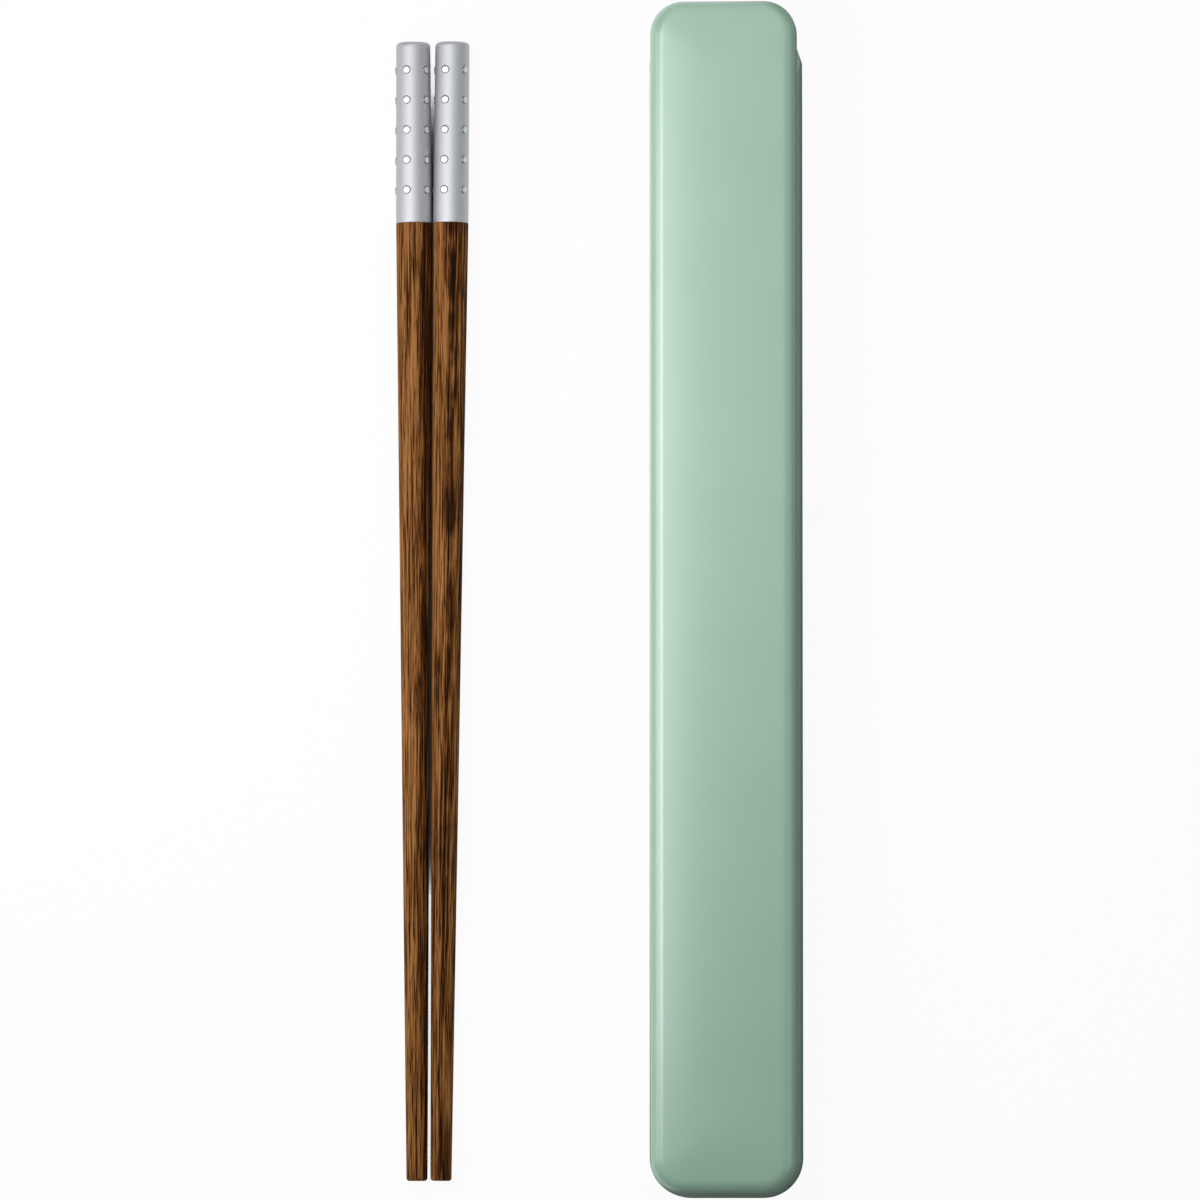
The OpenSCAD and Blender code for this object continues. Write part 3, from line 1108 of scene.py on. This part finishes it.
def facing(at: Triple, aim: Triple) -> Matrix:
    """Place and turn of a camera or lamp that points at something, with its top along +Y.

    Args:
        at: Where it is.
        aim: What it points at.

    Returns:
        Its matrix.
    """
    back = (Vector(at) - Vector(aim)).normalized()
    right = Vector((0, 1, 0)).cross(back).normalized()
    return Matrix.Translation(at) @ Matrix((right, back.cross(right), back)).transposed().to_4x4()


@dataclass(frozen=True)
class Lamp:
    """A soft rectangular light: its place, what it points at, its width and height, and its power."""

    name: str
    at: Triple
    aim: Triple
    size: Pair
    power: float

    def build(self) -> None:
        """Hangs the light, with its height along the case."""
        data = bpy.data.lights.new(self.name, "AREA")
        data.shape, data.size, data.size_y = "RECTANGLE", *self.size
        data.energy = self.power
        lamp = bpy.data.objects.new(self.name, data)
        lamp.matrix_world = facing(self.at, self.aim)
        bpy.context.scene.collection.objects.link(lamp)


@dataclass(frozen=True)
class Studio:
    """White floor, soft lights round the object and the camera nearly straight above.

    Of the floor's fields, paint is its pale colour and seen_white the share of plain white that the
    camera sees. Those named mirrored are for reflections, which see white to the left of a slanted line
    and paint to its right. Those named shadow are the reach, depth and power of the shadow under the
    object, and tip_gap and head_gap are where it fades, beyond the ends of the sticks.
    """

    camera_at: Triple = (0.1094, -0.1283, 2.0276)
    camera_aim: Triple = (-0.0216, 0.0002, 0.005)
    lens: float = 356.9
    sensor: float = 36.0
    clip: Pair = (0.05, 50.0)
    lamps: tuple[Lamp, ...] = (
        Lamp("over", (-0.101, 0.030, 0.209), (-0.011, 0.030, 0.017), (0.11, 0.22), 0.168),
        Lamp("left", (-0.195, 0.020, 0.214), (-0.011, 0.022, 0.017), (0.24, 0.20), 0.352),
        Lamp("back", (0.020, 0.240, 0.390), (-0.010, 0.030, 0.010), (0.60, 0.54), 0.760),
        Lamp("low", (-0.400, 0.030, 0.150), (-0.030, 0.030, 0.010), (0.18, 0.30), 0.170),
        Lamp("far", (-0.020, 0.480, 0.150), (-0.020, 0.080, 0.010), (0.30, 0.18), 0.140),
        Lamp("right", (0.450, 0.050, 0.240), (-0.010, 0.030, 0.010), (0.36, 0.60), 0.310),
    )
    sky: float = 0.15
    floor_half: float = 8.0
    floor_drop: float = 0.0002
    paint: float = 0.85
    mirrored_paint: float = 0.14
    seen_white: float = 0.94
    mirrored_white: Pair = (1.0, 0.0)
    mirrored_turn: Pair = (-0.018, -0.002)
    mirrored_slant: float = 0.15
    mirrored_near: Pair = (0.0, 0.45)
    shadow_reach: float = 0.03
    shadow_depth: Pair = (0.06, 0.42)
    shadow_power: float = 3.0
    tip_gap: Pair = (-0.050, -0.040)
    head_gap: Pair = (0.076, 0.088)

    def camera(self) -> None:
        """Puts the camera at its place, with the photograph's top along +Y."""
        data = bpy.data.cameras.new("camera")
        data.lens, data.sensor_width = self.lens, self.sensor
        data.clip_start, data.clip_end = self.clip
        camera = bpy.data.objects.new("camera", data)
        camera.matrix_world = facing(self.camera_at, self.camera_aim)
        bpy.context.scene.collection.objects.link(camera)
        bpy.context.scene.camera = camera

    def glow_share(
        self, sheet: ShaderSheet, seen: Socket, mirrored: Socket, x: Socket, y: Socket
    ) -> Socket:
        """How much of the floor is plain white: steady to the camera, and in mirrors from left to right.

        Args:
            sheet: The floor's material.
            seen: 1 for the camera's rays.
            mirrored: 1 for reflected and transmitted rays.
            x: Place across the floor.
            y: Place along the floor.

        Returns:
            The share from 0 to 1.
        """
        across = sheet.sums(Op.SUBTRACT, x, sheet.sums(Op.MULTIPLY, y, self.mirrored_slant))
        white = sheet.span(across, *self.mirrored_turn, *self.mirrored_white)
        to_camera = sheet.sums(Op.MULTIPLY, seen, self.seen_white)
        return sheet.sums(Op.ADD, to_camera, sheet.sums(Op.MULTIPLY, mirrored, white))

    def glow_strength(self, sheet: ShaderSheet, seen: Socket, mirrored: Socket, y: Socket) -> Socket:
        """White dimmed by the shadow: a power of openness / depth to the camera, openness in mirrors.

        Args:
            sheet: The floor's material.
            seen: 1 for the camera's rays.
            mirrored: 1 for reflected and transmitted rays.
            y: Place along the floor.

        Returns:
            The strength from 0 to 1.
        """
        reach = {"Distance": self.shadow_reach}
        near = sheet.add("ShaderNodeAmbientOcclusion", reach, samples=16).outputs["AO"]
        faint, deep = self.shadow_depth
        at_tips = sheet.span(y, *self.tip_gap, faint, deep)
        at_heads = sheet.span(y, *self.head_gap, deep, faint)
        depth = sheet.sums(Op.MINIMUM, at_tips, at_heads)
        open_share = sheet.span(sheet.sums(Op.DIVIDE, near, depth), 0.0, 1.0, 0.0, 1.0)
        to_camera = sheet.sums(Op.MULTIPLY, seen, sheet.sums(Op.POWER, open_share, self.shadow_power))
        in_mirrors = sheet.sums(Op.MULTIPLY, mirrored, sheet.span(near, *self.mirrored_near, 0.0, 1.0))
        return sheet.sums(Op.ADD, to_camera, in_mirrors)

    def floor_material(self) -> Material:
        """Pale paint mixed with plain white for the camera and for mirrors.

        Returns:
            The material.
        """
        sheet = ShaderSheet("floor_white")
        sheet.set(Roughness=0.9)
        path = sheet.add("ShaderNodeLightPath").outputs
        seen = path["Is Camera Ray"]
        mirrored = sheet.sums(Op.ADD, path["Is Glossy Ray"], path["Is Transmission Ray"])
        paint = sheet.span(mirrored, 0.0, 1.0, self.paint, self.mirrored_paint)
        sheet.join(paint, sheet.shader.inputs["Base Color"])
        axes = sheet.add("ShaderNodeSeparateXYZ")
        sheet.join(sheet.add("ShaderNodeTexCoord").outputs["Object"], axes.inputs[0])
        x, y = axes.outputs["X"], axes.outputs["Y"]
        glow = sheet.add("ShaderNodeEmission")
        sheet.join(self.glow_strength(sheet, seen, mirrored, y), glow.inputs["Strength"])
        mix = sheet.add("ShaderNodeMixShader")
        sheet.join(self.glow_share(sheet, seen, mirrored, x, y), mix.inputs[0])
        sheet.join(sheet.shader.outputs[0], mix.inputs[1])
        sheet.join(glow.outputs[0], mix.inputs[2])
        sheet.join(mix.outputs[0], sheet.tree.nodes["Material Output"].inputs["Surface"])
        return sheet.material

    def floor(self) -> None:
        """A wide square floor just below the object, which is stage and no part of it."""
        corners = np.array([[-1.0, -1.0, 0.0], [1.0, -1.0, 0.0], [1.0, 1.0, 0.0], [-1.0, 1.0, 0.0]])
        floor = make_piece("floor", corners * self.floor_half / MM, [[0, 1, 2, 3]])
        floor.location.z = -self.floor_drop
        floor.data.materials.append(self.floor_material())

    def light(self) -> None:
        """Soft lights in an even grey room."""
        world = bpy.data.worlds.new("room")
        world.use_nodes = True
        back = world.node_tree.nodes["Background"]
        back.inputs["Color"].default_value = (1.0, 1.0, 1.0, 1.0)
        back.inputs["Strength"].default_value = self.sky
        bpy.context.scene.world = world
        for lamp in self.lamps:
            lamp.build()

    def build(self) -> None:
        """Sets the stage, the light, the camera and plain colours."""
        self.floor()
        self.light()
        self.camera()
        bpy.context.scene.view_settings.view_transform = "Standard"


def main() -> None:
    """Builds every piece in order."""
    logging.basicConfig(level=logging.INFO, format="%(name)s %(message)s")
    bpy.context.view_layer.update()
    finishes = {
        Slot.SHELL: SatinPlastic().material(),
        Slot.REST: SoftRubber().material(),
        Slot.WOOD: StainedWood().material(),
        Slot.CAP: SatinMetal(
            "satin_cap_metal", light=(0.58, 0.585, 0.61), dark=(0.53, 0.535, 0.56),
            roughness=(0.57, 0.65),
        ).material(),
        Slot.STUD: SatinMetal(
            "bright_stud_metal", light=(0.74, 0.75, 0.75), dark=(0.68, 0.69, 0.69),
            # The rim value darkens each stud's outer slope as painted shade
            roughness=(0.30, 0.36), rim=0.4,
        ).material(),
    }
    parts = (
        Tray(),
        Lid(),
        Rest("head_rest", middle=78.5, groove_r=3.3, pitch=8.0),
        Rest("tip_rest", middle=-86.05, groove_r=2.0, pitch=6.0),
        Chopstick(Side.LEFT, Body.LEFT, head_x=-53.8, tip_x=-53.1, grain_shift=0.05),
        Chopstick(Side.RIGHT, Body.RIGHT, head_x=-47.054, tip_x=-49.0, grain_shift=0.31),
    )
    for part in parts:
        part.dress(finishes)

    Studio().build()


if __name__ == "__main__":
    main()
